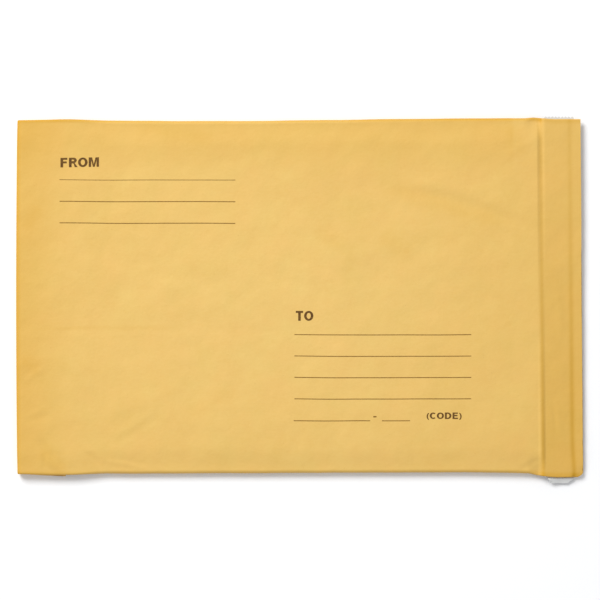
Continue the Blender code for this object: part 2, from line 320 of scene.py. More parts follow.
# Takes points and how near they are to the front wall (1) or the back wall (0), and creases them.
def crease(points, frontness, upper):
    x, y, z = points.T
    across = y - acrossAt(x)
    nearClosed = 1 - smooth(x, closedX, closedX + 0.035)
    newY = y - across / lipHalf * handling["closedPinch"] * nearClosed
    wave = handling["sideWave"] * noiseAt(x, np.sign(across) * 0.5, 0.021, 4.4)
    newY += wave * smooth(abs(across), 0.10, 0.13) * upper
    newY -= handling["farBow"] * bell(x, -0.055, 0.13) * smooth(across, 0.08, 0.13)
    nearSide = smooth(-across, 0.08, 0.13)
    run = smooth(x, -0.205, -0.17) * (1 - smooth(x, 0.13, 0.16))
    newY += (handling["nearBow"] * run - handling["lipFlare"] * smooth(x, 0.15, 0.172)) * nearSide
    bow = handling["closedBow"] * (1 - (across / lipHalf) ** 2)
    newX = x - (bow - 0.85 * handling["closedBow"]) * (1 - smooth(x, closedX, closedX + 0.02))
    roundFold = np.clip((x - closedX) / foldOuter, 0, 1)
    newX += foldOuter * (roundFold ** handling["foldPress"] - roundFold)
    corner = np.clip(1 - (across + lipHalf) / handling["cornerRound"], 0, 1)
    atMouth = smooth(x, mouthX - 0.010, mouthX)
    newX -= handling["cornerCut"] * corner ** 3 * atMouth
    short = handling["frontShort"] * smooth(-y, -0.055, -0.03) * frontness
    nicks = handling["nickDepth"] * sum(bell(y, at, wide) for at, wide in handling["nicks"]) * frontness
    raggedMouth = handling["mouthRag"] * noiseAt(y, y * 0, 0.006, 2.2)
    newX -= (short + nicks + raggedMouth) * smooth(x, mouthX - 0.004, mouthX)
    newZ = z + lipDrop(x, y) + frontRelief(x, y) * frontness * upper
    dogEar = handling["dogEar"] * smooth(x - y, mouthX + lipHalf - 0.014, mouthX + lipHalf - 0.002)
    return np.stack([newX, newY, newZ - dogEar * smooth(x, creaseX, mouthX)], axis=1)


# Points of one ring of the tube, with how near the front wall each one is
def ringPoints(path, st, depths):
    points, front = [], []
    for (face, u, turn), depth in zip(path, depths):
        half = halfAt(face, u, st)
        reach = half - depth(half)
        if face == 0:
            y, height = u * st["side"] + reach * math.cos(turn), reach * math.sin(turn)
        else:
            y, height = u * st["side"], face * reach
        y += st["across"]
        x = st["x"] + height * st["normal"][0] + y * st["slant"]
        points.append((x, y, st["z"] + height * st["normal"][1]))
        front.append(0.5 + 0.5 * height / st["middle"])
    return points, front


def newPiece(name, bm, material, nodes, smoothAngle=50):
    mesh = bpy.data.meshes.new(name)
    bm.to_mesh(mesh)
    bm.free()
    mesh.materials.append(material)
    mesh.shade_smooth()
    mesh.set_sharp_from_angle(angle=math.radians(smoothAngle))
    piece = bpy.data.objects.new(name, mesh)
    bpy.context.scene.collection.objects.link(piece)
    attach(piece, "root")
    if nodes:
        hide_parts(*nodes)
    return piece


# A closed sheet wrapped into the tube, between an outer and an inner depth
def wrappedSheet(stations, path, outerDepths, innerDepths):
    rings, points, front, upper = [], [], [], []
    count = 2 * len(path)
    for st in stations:
        outer, outerFront = ringPoints(path, st, outerDepths)
        inner, innerFront = ringPoints(path, st, innerDepths)
        rings.append(len(points))
        points += outer + inner[::-1]
        front += outerFront + innerFront[::-1]
        upper += [max(0.0, st["normal"][1])] * count
    creased = crease(np.array(points), np.array(front), np.array(upper))
    bm = bmesh.new()
    verts = [bm.verts.new(p) for p in creased]
    for a, b in zip(rings, rings[1:]):
        for i in range(count):
            j = (i + 1) % count
            bm.faces.new((verts[a + i], verts[b + i], verts[b + j], verts[a + j]))
    for a, turn in ((rings[0], 1), (rings[-1], -1)):
        for i in range(len(path) - 1):
            cap = [verts[a + k] for k in (i, i + 1, count - 2 - i, count - 1 - i)]
            bm.faces.new(cap[::turn])
    return bm


print("creasing ready,", len(wrinkles), "wrinkles")


def newGroup(name, inputs, outputs):
    group = bpy.data.node_groups.new(name, "ShaderNodeTree")
    for label, kind, value in inputs:
        socket = group.interface.new_socket(name=label, in_out="INPUT", socket_type=kind)
        if value is not None:
            socket.default_value = value
    for label, kind in outputs:
        group.interface.new_socket(name=label, in_out="OUTPUT", socket_type=kind)
    return group, group.nodes.new("NodeGroupInput"), group.nodes.new("NodeGroupOutput")


# Each socket is linked to its source or set to a plain value
def plug(tree, node, links):
    for socket, source in links.items():
        if isinstance(source, bpy.types.NodeSocket):
            tree.links.new(source, node.inputs[socket])
        else:
            node.inputs[socket].default_value = source
    return node


def addNode(tree, kind, links=None, **settings):
    node = tree.nodes.new(kind)
    for key, value in settings.items():
        setattr(node, key, value)
    return plug(tree, node, links or {})


def mathNode(tree, operation, first, second=0.0):
    return addNode(tree, "ShaderNodeMath", {0: first, 1: second}, operation=operation).outputs[0]


# A part of a mask
def share(tree, mask, amount):
    return mathNode(tree, "MULTIPLY", mask, amount)


def rangeNode(tree, value, fromMin, fromMax, toMin, toMax):
    links = {"Value": value, "From Min": fromMin, "From Max": fromMax, "To Min": toMin, "To Max": toMax}
    return addNode(tree, "ShaderNodeMapRange", links).outputs["Result"]


def mixColours(tree, factor, first, second):
    node = addNode(tree, "ShaderNodeMix", data_type="RGBA")
    return plug(tree, node, {0: factor, 6: first, 7: second}).outputs[2]


# Pulp fibres: short streaks along the paper's run with a finer felt under them
def buildFibreGroup():
    inputs = [("Position", "NodeSocketVector", None), ("Fibre Size", "NodeSocketFloat", 900.0),
              ("Streak", "NodeSocketFloat", 0.22), ("Felt", "NodeSocketFloat", 0.5)]
    outputs = [("Mask", "NodeSocketFloat"), ("Height", "NodeSocketFloat")]
    group, start, end = newGroup("pulpFibres", inputs, outputs)
    run = addNode(group, "ShaderNodeCombineXYZ", {"X": start.outputs["Streak"], "Y": 1.0, "Z": 1.0})
    links = {0: start.outputs["Position"], 1: run.outputs[0]}
    stretched = addNode(group, "ShaderNodeVectorMath", links, operation="MULTIPLY")
    fibres = addNode(group, "ShaderNodeTexNoise", {
        "Vector": stretched.outputs[0], "Scale": start.outputs["Fibre Size"], "Detail": 4.0,
        "Roughness": 0.62, "Distortion": 0.8})
    feltScale = mathNode(group, "MULTIPLY", start.outputs["Fibre Size"], 1.9)
    felt = addNode(group, "ShaderNodeTexNoise", {
        "Vector": start.outputs["Position"], "Scale": feltScale, "Detail": 3.0, "Roughness": 0.7})
    ridge = mathNode(group, "ABSOLUTE", mathNode(group, "SUBTRACT", fibres.outputs["Fac"], 0.5))
    strands = rangeNode(group, ridge, 0.0, 0.09, 1.0, 0.0)
    weighted = mathNode(group, "MULTIPLY", felt.outputs["Fac"], start.outputs["Felt"])
    height = mathNode(group, "ADD", mathNode(group, "MULTIPLY", strands, 0.5), weighted)
    group.links.new(strands, end.inputs["Mask"])
    group.links.new(height, end.inputs["Height"])
    return group


# Cloudy look-through of uneven pulp
def buildCloudGroup():
    inputs = [("Position", "NodeSocketVector", None), ("Scale", "NodeSocketFloat", 30.0),
              ("Contrast", "NodeSocketFloat", 0.2), ("Seed", "NodeSocketFloat", 0.0)]
    group, start, end = newGroup("cloudyPulp", inputs, [("Mask", "NodeSocketFloat")])
    cloud = addNode(group, "ShaderNodeTexNoise", {
        "Vector": start.outputs["Position"], "W": start.outputs["Seed"], "Scale": start.outputs["Scale"],
        "Detail": 5.0, "Roughness": 0.55}, noise_dimensions="4D")
    low = mathNode(group, "SUBTRACT", 0.5, start.outputs["Contrast"])
    high = mathNode(group, "ADD", 0.5, start.outputs["Contrast"])
    group.links.new(rangeNode(group, cloud.outputs["Fac"], low, high, 0.0, 1.0), end.inputs["Mask"])
    return group


# Sparse specks of bark and darker pulp
def buildFleckGroup():
    inputs = [("Position", "NodeSocketVector", None), ("Scale", "NodeSocketFloat", 420.0),
              ("Size", "NodeSocketFloat", 0.16)]
    group, start, end = newGroup("barkFlecks", inputs, [("Mask", "NodeSocketFloat")])
    cells = addNode(group, "ShaderNodeTexVoronoi", {
        "Vector": start.outputs["Position"], "Scale": start.outputs["Scale"], "Randomness": 1.0})
    spot = rangeNode(group, cells.outputs["Distance"], 0.0, start.outputs["Size"], 1.0, 0.0)
    chosen = addNode(group, "ShaderNodeSeparateColor", {"Color": cells.outputs["Color"]})
    few = rangeNode(group, chosen.outputs["Red"], 0.86, 0.90, 0.0, 1.0)
    group.links.new(mathNode(group, "MULTIPLY", spot, few), end.inputs["Mask"])
    return group


fibreGroup = buildFibreGroup()
cloudGroup = buildCloudGroup()
fleckGroup = buildFleckGroup()


def useGroup(tree, group, links):
    node = tree.nodes.new("ShaderNodeGroup")
    node.node_tree = group
    return plug(tree, node, links)


def cloudMask(tree, position, scale, contrast, seed):
    links = {"Position": position, "Scale": scale, "Contrast": contrast, "Seed": seed}
    return useGroup(tree, cloudGroup, links).outputs["Mask"]


def pulpFibres(tree, position, size, streak, felt):
    links = {"Position": position, "Fibre Size": size, "Streak": streak, "Felt": felt}
    return useGroup(tree, fibreGroup, links).outputs


def fleckMask(tree, position, scale, size):
    return useGroup(tree, fleckGroup, {"Position": position, "Scale": scale, "Size": size}).outputs["Mask"]


def newMaterial(name, roughness, specular=0.5):
    material = bpy.data.materials.new(name)
    material.use_nodes = True
    shader = material.node_tree.nodes["Principled BSDF"]
    shader.inputs["Roughness"].default_value = roughness
    shader.inputs["Specular IOR Level"].default_value = specular
    position = addNode(material.node_tree, "ShaderNodeTexCoord").outputs["Object"]
    return material, material.node_tree, shader, position


def addBump(tree, shader, height, strength, distance, under=None):
    bump = addNode(tree, "ShaderNodeBump", {"Height": height, "Strength": strength, "Distance": distance})
    if under:
        tree.links.new(under, bump.inputs["Normal"])
    tree.links.new(bump.outputs["Normal"], shader.inputs["Normal"])
    return bump.outputs["Normal"]


# The darkest orange tone is what painted shade and wear on the printed side mix towards, and it also shows
# under thin ink
goldenKraft = {
    "light": (0.762, 0.518, 0.155, 1), "deep": (0.684, 0.434, 0.106, 1), "orange": (0.768, 0.470, 0.136, 1),
    "fibre": (0.82, 0.58, 0.21, 1), "bark": (0.30, 0.15, 0.04, 1), "darkKraft": (0.585, 0.300, 0.008, 1),
    "pulp": (0.20, 0.075, 0.018, 1), "roughness": (0.50, 0.66), "bump": 0.25, "crumple": 0.0008,
}


def kraftMaterial(name, finish, printedSide=True):
    material, tree, shader, position = newMaterial(name, 0.6, 0.32)
    broad = cloudMask(tree, position, 16.0, 0.22, 1.3)
    cloud = cloudMask(tree, position, 85.0, 0.22, 4.1)
    hue = cloudMask(tree, position, 44.0, 0.16, 9.6)
    fibres = pulpFibres(tree, position, 900.0, 0.22, 0.5)
    dents = cloudMask(tree, position, 52.0, 0.5, 12.7)
    creases = pulpFibres(tree, position, 36.0, 0.8, 0.0)
    flecks = fleckMask(tree, position, 330.0, 0.14)
    depth = mathNode(tree, "ADD", share(tree, broad, 0.38), share(tree, cloud, 0.36))
    colour = mixColours(tree, depth, finish["light"], finish["deep"])
    colour = mixColours(tree, share(tree, hue, 0.60), colour, finish["orange"])
    colour = mixColours(tree, share(tree, fibres["Mask"], 0.16), colour, finish["fibre"])
    colour = mixColours(tree, share(tree, flecks, 0.30), colour, finish["bark"])
    if printedSide:
        # Painted shade and wear stored on the mesh darken the paper towards its deepest tone; the torn place
        # shows pulp
        shadeAndWear = addNode(tree, "ShaderNodeAttribute", attribute_name="shadeAndWear").outputs["Fac"]
        torn = addNode(tree, "ShaderNodeAttribute", attribute_name="torn").outputs["Fac"]
        colour = mixColours(tree, shadeAndWear, colour, finish["darkKraft"])
        colour = mixColours(tree, torn, colour, finish["pulp"])
    tree.links.new(colour, shader.inputs["Base Color"])
    low, high = finish["roughness"]
    tree.links.new(rangeNode(tree, fibres["Height"], 0.1, 0.9, low, high), shader.inputs["Roughness"])
    crumple = mathNode(tree, "ADD", dents, share(tree, creases["Mask"], 0.02))
    folds = addBump(tree, shader, crumple, 1.0, finish["crumple"])
    addBump(tree, shader, fibres["Height"], finish["bump"], 0.00012, folds)
    return material


def buildOuterSheet():
    lapEdge = seam["y"] - seam["lap"] / 2
    path = wrapPath(lapEdge, lapEdge - tube["clearance"] - seam["joggle"])
    bend = len(path)
    side = runStation(0.0)["side"]
    lapPlaces = [lapEdge - tube["clearance"], seam["y"], seam["y"] + seam["lap"] / 2]
    path += [(-1, (y - bodyY) / side, None) for y in lapPlaces]
    under = tube["paper"] + tube["clearance"]
    outer = [0.0] * bend + [under] * len(lapPlaces)
    outerDepths = [lambda half, d=d: d for d in outer]
    innerDepths = [lambda half, d=d: d + tube["paper"] for d in outer]
    bm = wrappedSheet(tubeStations(0.0), path, outerDepths, innerDepths)
    material = kraftMaterial("goldenKraftPaper", goldenKraft)
    piece = newPiece("outerSheet", bm, material, ["outer_sheet"])
    markPaper(piece)
    return piece


# A little torn place at the flap's corner
tear = {"x": -0.1795, "long": 0.0024, "height": 0.0030}

# How strongly each place is darkened, by painted shade together with wear. A pair is the amount at the far
# side and what the near side adds.
shadeAndWearAmounts = {
    "all": 0.20, "closedEnd": 0.22, "fold": 0.42, "farSide": 0.55, "nearSide": 0.25, "farStrip": 0.14,
    "crease": (0.21, 0.26), "bandLine": (0.12, 0.20), "lip": (0.06, 0.18),
}

# Darker streaks, some along the wrinkles: start and end (x, y), width and strength
darkStreaks = {
    "besideLip": ((0.060, 0.085), (0.153, 0.057), 0.0065, 0.12),
    "belowIt": ((0.060, 0.048), (0.083, 0.033), 0.0080, 0.10),
    "lipCorner": ((0.157, 0.130), (0.164, 0.107), 0.0060, 0.10),
    "closedEdge": ((-0.208, -0.045), (-0.193, -0.052), 0.0050, 0.10),
    "closedEdgeFar": ((-0.204, 0.052), (-0.193, 0.070), 0.0050, 0.09),
    "overLap": ((-0.190, -0.0210), (-0.095, -0.0208), 0.0014, 0.10),
    "nearCorner": ((-0.193, -0.112), (-0.174, -0.127), 0.0055, 0.13),
    "underForm": ((-0.085, -0.086), (-0.048, -0.067), 0.0060, 0.07),
    "farEdge": ((-0.122, 0.130), (-0.066, 0.119), 0.0060, 0.09),
    "middle": ((0.010, 0.052), (0.035, 0.040), 0.0070, 0.07),
}


def streakDarkening(x, y):
    total = np.zeros_like(x)
    for start, end, wide, strength in darkStreaks.values():
        aside, along = wrinkleReach(x, y, start, end, 0.0)
        total += strength * bell(aside, 0, wide) * smooth(along, -0.1, 0.2) * (1 - smooth(along, 0.8, 1.1))
    return total


# Painted shade and wear: the middle of the front is left lightest, and the paper darkens towards the edges,
# over the closed end and its fold, along the side folds, in the crease, over the strip's edge and on the
# lip.
def paperShadeAndWear(x, y, z):
    creaseLine = creaseX - tube["slant"] * y
    lower = smooth(-y, -0.12, 0.13)
    fromSide = lipHalf - abs(y - acrossAt(x))
    middle = np.clip(1 - ((x + 0.02) / 0.21) ** 2, 0, 1) * np.clip(1 - ((y + 0.01) / 0.15) ** 2, 0, 1)
    # In the crease, over the strip's edge and on the lip the darkening is painted shade with some wear,
    # stronger towards the near side
    creaseShadeAndWear, bandLineShade, onLip = [shadeAndWearAmounts[place][0] + shadeAndWearAmounts[place][1] * lower
                                   for place in ("crease", "bandLine", "lip")]
    # Painted shade: darker away from the middle, where the light falls off
    shadeAndWear = shadeAndWearAmounts["all"] * (1 - middle)
    # Painted shade over the closed end and its fold, which face the lamp, together with wear
    shadeAndWear += shadeAndWearAmounts["closedEnd"] * (1 - smooth(x, closedX, closedX + 0.05))
    shadeAndWear += shadeAndWearAmounts["fold"] * (1 - smooth(x, closedX + 0.0008, closedX + 0.0042))
    # Along the side folds: painted shade on the far side, which faces the lamp, and a little wear on the
    # near side
    sideShadeAndWear = np.where(y > 0, shadeAndWearAmounts["farSide"] * (1 - 0.6 * (x > creaseX)), shadeAndWearAmounts["nearSide"])
    shadeAndWear += shadeAndWearAmounts["farStrip"] * smooth(y, 0.085, 0.125) * (x < creaseX - 0.02)
    shadeAndWear += sideShadeAndWear * (1 - smooth(fromSide, 0.0012, 0.0045)) + streakDarkening(x, y)
    shadeAndWear += creaseShadeAndWear * bell(x, creaseLine + 0.0003, 0.0018)
    shadeAndWear += bandLineShade * bell(x, bandLineAt(y), 0.0018)
    shadeAndWear += onLip * smooth(x, creaseLine + 0.001, creaseLine + 0.004)
    return shadeAndWear * smooth(z, 0.0016, 0.0024)


def tornPulp(x, y, z):
    nearEdge = (y < acrossAt(x) - lipHalf + 0.004)
    rag = 0.4 * noiseAt(x, z, 0.0008, 5.5)
    torn = bell(x, tear["x"], tear["long"]) * nearEdge * (z < tear["height"]) * (1 + rag)
    return np.clip(torn, 0, 1)


# Stores the painted shade and wear, and the torn place, on the mesh, for the paper's material
def markPaper(piece):
    mesh = piece.data
    co = np.zeros(len(mesh.vertices) * 3)
    mesh.vertices.foreach_get("co", co)
    x, y, z = co.reshape(-1, 3).T
    for label, values in (("shadeAndWear", paperShadeAndWear(x, y, z)), ("torn", tornPulp(x, y, z))):
        layer = mesh.attributes.new(label, "FLOAT", "POINT")
        layer.data.foreach_set("value", values.astype(np.float32))


outerSheet = buildOuterSheet()
print("outer sheet", len(outerSheet.data.polygons), "faces")


plainKraft = {
    "light": (0.60, 0.42, 0.235, 1), "deep": (0.50, 0.335, 0.175, 1), "orange": (0.58, 0.38, 0.20, 1),
    "fibre": (0.70, 0.53, 0.33, 1), "bark": (0.22, 0.13, 0.06, 1),
    "roughness": (0.68, 0.85), "bump": 0.4, "crumple": 0.0020,
}
# The two inner layers stop short of the sheet's edges, and their pitches are wider than the sheet's
innerLayers = {"linerSetback": 0.003, "matSetback": 0.006, "along": 1.5, "across": 2.0}

fluff = {"light": (0.52, 0.50, 0.46, 1), "dark": (0.30, 0.29, 0.28, 1), "newsprint": (0.62, 0.60, 0.56, 1)}


def linerDepth(half):
    full = (2 * half - tube["flatThickness"]) / (tube["bodyThickness"] - tube["flatThickness"])
    pocket = tube["flatPocket"] + (tube["pocket"] - tube["flatPocket"]) * full
    return half - pocket / 2 - tube["paper"]


def buildInnerLiner():
    path = wrapPath(seam["y"] + seam["matGap"], seam["y"] - seam["matGap"], innerLayers["across"])
    outerDepths = [linerDepth] * len(path)
    innerDepths = [lambda half: linerDepth(half) + tube["paper"]] * len(path)
    sections = tubeStations(innerLayers["linerSetback"], innerLayers["along"])
    bm = wrappedSheet(sections, path, outerDepths, innerDepths)
    material = kraftMaterial("plainKraftPaper", plainKraft, False)
    return newPiece("innerLiner", bm, material, ["inner_liner"])


def fluffMaterial():
    material, tree, shader, position = newMaterial("maceratedFluff", 0.95, 0.1)
    clumps = cloudMask(tree, position, 240.0, 0.2, 2.0)
    shreds = pulpFibres(tree, position, 420.0, 0.8, 1.0)
    scraps = fleckMask(tree, position, 260.0, 0.3)
    colour = mixColours(tree, clumps, fluff["light"], fluff["dark"])
    colour = mixColours(tree, share(tree, shreds["Mask"], 0.4), colour, fluff["newsprint"])
    colour = mixColours(tree, share(tree, scraps, 0.7), colour, fluff["dark"])
    tree.links.new(colour, shader.inputs["Base Color"])
    addBump(tree, shader, shreds["Height"], 0.8, 0.0006)
    return material


def buildPaddingMat():
    path = wrapPath(seam["y"] + seam["matGap"], seam["y"] - seam["matGap"], innerLayers["across"])
    sections = tubeStations(innerLayers["matSetback"], innerLayers["along"])
    stations = [st for st in sections if st["x"] < creaseX + 0.1 * mm]
    outerDepths = [lambda half: tube["paper"] + tube["clearance"]] * len(path)
    innerDepths = [lambda half: linerDepth(half) - tube["clearance"]] * len(path)
    bm = wrappedSheet(stations, path, outerDepths, innerDepths)
    piece = newPiece("paddingMat", bm, fluffMaterial(), ["padding_mat"])
    return piece


innerLiner = buildInnerLiner()
paddingMat = buildPaddingMat()
print("inner liner", len(innerLiner.data.polygons), "faces, padding", len(paddingMat.data.polygons), "faces")


closure = {
    "bandWidth": 0.0185, "bandThickness": 0.00015, "bandEnds": 0.0045,
    "stripWidth": 0.0222, "stripThickness": 0.00014, "stripInset": 0.0034,
    "pinkedPast": 0.0021, "tooth": 0.0026, "toothDepth": 0.0010,
    "tabPast": 0.0049, "tabDroop": 0.0010, "tabRise": 0.0006, "tabCutLeft": 0.0021,
    "tabCutRight": 0.0066, "tabCutStart": 0.0012,
}


def underLip(x, y, below):
    cleanX = x - y * tube["slant"]
    drop = lipDrop(np.array([cleanX]), np.array([y]))[0]
    return cleanX, y, lipBottom + drop - below


# A thin closed strip from rows of (y, starts at, width, extra drop)
def stripMesh(rows, columns, below, thickness, lastRow=None):
    bm = bmesh.new()
    layers = []
    for extra in (0.0, thickness):
        grid = []
        for index, (y, left, width, droops) in enumerate(rows):
            teeth = lastRow if index == len(rows) - 1 and lastRow else [0.0] * (columns + 1)
            line = []
            for i in range(columns + 1):
                x, yy, z = underLip(left + width * i / columns, y - teeth[i], below + extra)
                line.append(bm.verts.new((x, yy, z - droops(i / columns))))
            grid.append(line)
        layers.append(grid)
    top, bottom = layers
    for grid, turn in ((top, 1), (bottom, -1)):
        for a, b in zip(grid, grid[1:]):
            for i in range(columns):
                bm.faces.new((a[i], a[i + 1], b[i + 1], b[i])[::turn])
    rim = [(r, 0) for r in range(len(rows) - 1, 0, -1)] + [(0, i) for i in range(columns)]
    rim += [(r, columns) for r in range(len(rows) - 1)] + [(len(rows) - 1, i) for i in range(columns, 0, -1)]
    for (r, i), (s, j) in zip(rim, rim[1:] + rim[:1]):
        bm.faces.new((bottom[r][i], bottom[s][j], top[s][j], top[r][i]))
    return bm


film = {"light": (0.70, 0.56, 0.26, 1), "deep": (0.60, 0.45, 0.18, 1), "roughness": (0.22, 0.42)}


def adhesiveMaterial():
    material, tree, shader, position = newMaterial("tackyFilm", 0.3, 0.5)
    smear = cloudMask(tree, position, 180.0, 0.2, 6.0)
    tree.links.new(mixColours(tree, smear, film["light"], film["deep"]), shader.inputs["Base Color"])
    tree.links.new(rangeNode(tree, smear, 0, 1, *film["roughness"]), shader.inputs["Roughness"])
    addBump(tree, shader, smear, 0.3, 0.0001)
    return material


def buildAdhesiveBand():
    left = creaseX + closure["stripInset"] + (closure["stripWidth"] - closure["bandWidth"]) / 2
    ends = lipHalf - closure["bandEnds"]
    rows = []
    for y in steps(lipY - ends, lipY + ends, 0.004) + [lipY + ends]:
        wander = 0.0004 * noise.noise(Vector((y / 0.02, 0.3, 8.0)))
        rows.append((y, left + wander, closure["bandWidth"] - 2 * wander, lambda t: 0.0))
    bm = stripMesh(rows, 12, tube["clearance"], closure["bandThickness"])
    return newPiece("adhesiveBand", bm, adhesiveMaterial(), ["adhesive_band"])


# The release paper's grey is partly its own tone and partly painted shade for the tab, which lies under the
# lip and droops away from the lamp
coatedPaper = {
    "light": (0.71, 0.71, 0.69, 1), "deep": (0.65, 0.65, 0.63, 1), "fibre": (0.78, 0.78, 0.77, 1),
    "roughness": (0.32, 0.5),
}


def releaseMaterial():
    material, tree, shader, position = newMaterial("releasePaper", 0.4, 0.5)
    cloud = cloudMask(tree, position, 90.0, 0.25, 3.0)
    fibres = pulpFibres(tree, position, 1100.0, 0.4, 0.4)
    colour = mixColours(tree, cloud, coatedPaper["light"], coatedPaper["deep"])
    colour = mixColours(tree, share(tree, fibres["Mask"], 0.15), colour, coatedPaper["fibre"])
    tree.links.new(colour, shader.inputs["Base Color"])
    low, high = coatedPaper["roughness"]
    tree.links.new(rangeNode(tree, fibres["Height"], 0.1, 0.9, low, high), shader.inputs["Roughness"])
    addBump(tree, shader, fibres["Height"], 0.15, 0.0001)
    return material


def buildReleaseLiner():
    left = creaseX + closure["stripInset"]
    below = 2 * tube["clearance"] + closure["bandThickness"]
    lipEdge = lipY - lipHalf
    tabEnd = lipEdge - closure["tabPast"]
    cutStart = lipEdge + closure["tabCutStart"]
    rows = []
    for y in steps(tabEnd, cutStart, 0.0005):
        cut = (cutStart - y) / (cutStart - tabEnd)
        leftCut = closure["tabCutLeft"] * smooth(y, lipEdge, tabEnd)
        past = float(np.clip((lipEdge - 0.0006 - y) / closure["tabPast"], 0, 1))
        rise = closure["tabRise"] * float(smooth(past, 0.0, 0.2))
        fold = (closure["tabDroop"] + closure["tabRise"]) * float(np.clip((past - 0.15) / 0.85, 0, 1)) - rise

        def droops(t, past=past, fold=fold):
            curl = 0.0009 * float(bell(t, 0.0, 0.10)) * math.sin(math.pi * min(1.0, past * 1.3))
            return fold - curl - 0.0002 * past * math.sin(t * 9)

        width = closure["stripWidth"] - leftCut - closure["tabCutRight"] * cut
        rows.append((y, left + leftCut, width, droops))
    top = lipY + lipHalf + closure["pinkedPast"]
    for y in steps(cutStart, top - 0.002, 0.005) + [top - 0.002, top]:
        rows.append((y, left, closure["stripWidth"], lambda t: 0.0))
    columns = 2 * round(closure["stripWidth"] / closure["tooth"])
    teeth = [closure["toothDepth"] * ((i + 1) % 2) for i in range(columns + 1)]
    bm = stripMesh(rows, columns, below, closure["stripThickness"], teeth)
    return newPiece("releaseStrip", bm, releaseMaterial(), ["release_liner"], 40)


adhesiveBand = buildAdhesiveBand()
releaseStrip = buildReleaseLiner()
print("band", len(adhesiveBand.data.polygons), "faces, strip", len(releaseStrip.data.polygons), "faces")


# The printed form. Lefts are measured from the closed end.
form = {
    "left": 0.0324, "ruleLength": 0.1304, "pitch": 0.01605, "firstY": 0.0892, "tilt": -0.0003,
    "toLeft": 0.2067, "toRuleLength": 0.1312, "toPitch": 0.01588, "toFirstY": -0.0257, "toTilt": 0.0004,
    "lastY": -0.0895, "ruleWidth": 0.00056, "firstRule": 0.00040, "wander": 0.00034,
    "inkDepth": 0.00003, "inkLift": 0.00005,
}

# The short rules of the last line: start and end from toLeft, height above lastY, and width
lastLine = ((-0.0006, 0.0562, 0.0, form["ruleWidth"]), (0.0585, 0.0609, 0.0030, 0.0009),
            (0.0650, 0.0858, 0.0, form["ruleWidth"]))

# Each word: left, baseline, width, cap height, stem and gap in letter boxes, and rise to the right
words = {
    "FROM": (0.0331, 0.0985, 0.0285, 0.0070, 0.24, 0.10, 0.018),
    "TO": (0.2077, -0.0153, 0.0130, 0.0073, 0.235, 0.09, 0.0),
    "(CODE)": (0.3044, -0.0882, 0.0266, 0.0048, 0.23, 0.12, 0.0),
}

letterInk = {"dark": (0.058, 0.020, 0.002, 1), "thin": (0.120, 0.050, 0.008, 1)}
ruleInk = {"dark": (0.150, 0.066, 0.006, 1), "thin": (0.230, 0.115, 0.014, 1)}


def inkMaterial(name, look):
    material, tree, shader, position = newMaterial(name, 0.55, 0.3)
    patchy = cloudMask(tree, position, 380.0, 0.18, 5.0)
    fibres = pulpFibres(tree, position, 1200.0, 0.4, 0.5)
    thin = share(tree, patchy, 0.55)
    colour = mixColours(tree, thin, look["dark"], look["thin"])
    colour = mixColours(tree, share(tree, fibres["Mask"], 0.2), colour, goldenKraft["darkKraft"])
    tree.links.new(colour, shader.inputs["Base Color"])
    tree.links.new(rangeNode(tree, patchy, 0, 1, 0.48, 0.62), shader.inputs["Roughness"])
    addBump(tree, shader, fibres["Height"], 0.2, 0.0001)
    return material


bpy.context.view_layer.update()
paperTree = BVHTree.FromObject(outerSheet, bpy.context.evaluated_depsgraph_get())


def paperHeight(x, y):
    hit = paperTree.ray_cast(Vector((x, y, 0.05)), Vector((0, 0, -1)))[0]
    return hit.z if hit else outerHigh.z


# Lays a flat, thin piece of ink on the paper
def layInk(bm):
    for vert in bm.verts:
        lift = form["inkLift"] + (form["inkDepth"] if vert.co.z > 0 else 0.0)
        vert.co.z = paperHeight(vert.co.x, vert.co.y) + lift
    return bm


def ruleMesh(bm, x0, x1, y, width, seed, tilt=0.0):
    count = max(2, round((x1 - x0) / 0.0011))
    rails = []
    for i in range(count + 1):
        x = x0 + (x1 - x0) * i / count
        middle = y + tilt * (x - x0) + form["wander"] * noise.noise(Vector((x / 0.04, y / 0.09, 2.0)))
        half = width / 2 * (1 + 0.16 * noise.noise(Vector((x / 0.002, seed, 4.0))))
        ring = ((-half, 0.0), (half, 0.0), (half, 1.0), (-half, 1.0))
        rails.append([bm.verts.new((x, middle + dy, dz)) for dy, dz in ring])
    for a, b in zip(rails, rails[1:]):
        for i in range(4):
            j = (i + 1) % 4
            bm.faces.new((a[i], b[i], b[j], a[j])[::-1])
    bm.faces.new(rails[0])
    bm.faces.new(rails[-1][::-1])


def arcPoints(cx, cy, rx, ry, start, end, count=14):
    turns = [math.radians(start + (end - start) * i / count) for i in range(count + 1)]
    return [(cx + rx * math.cos(t), cy + ry * math.sin(t)) for t in turns]


def roundBand(width, stem, start, end):
    rx, ry = width / 2, 0.5
    outer = arcPoints(rx, 0.5, rx, ry, start, end, 28)
    inner = arcPoints(rx, 0.5, rx - stem, ry - stem * 0.82, start, end, 28)
    return outer, inner


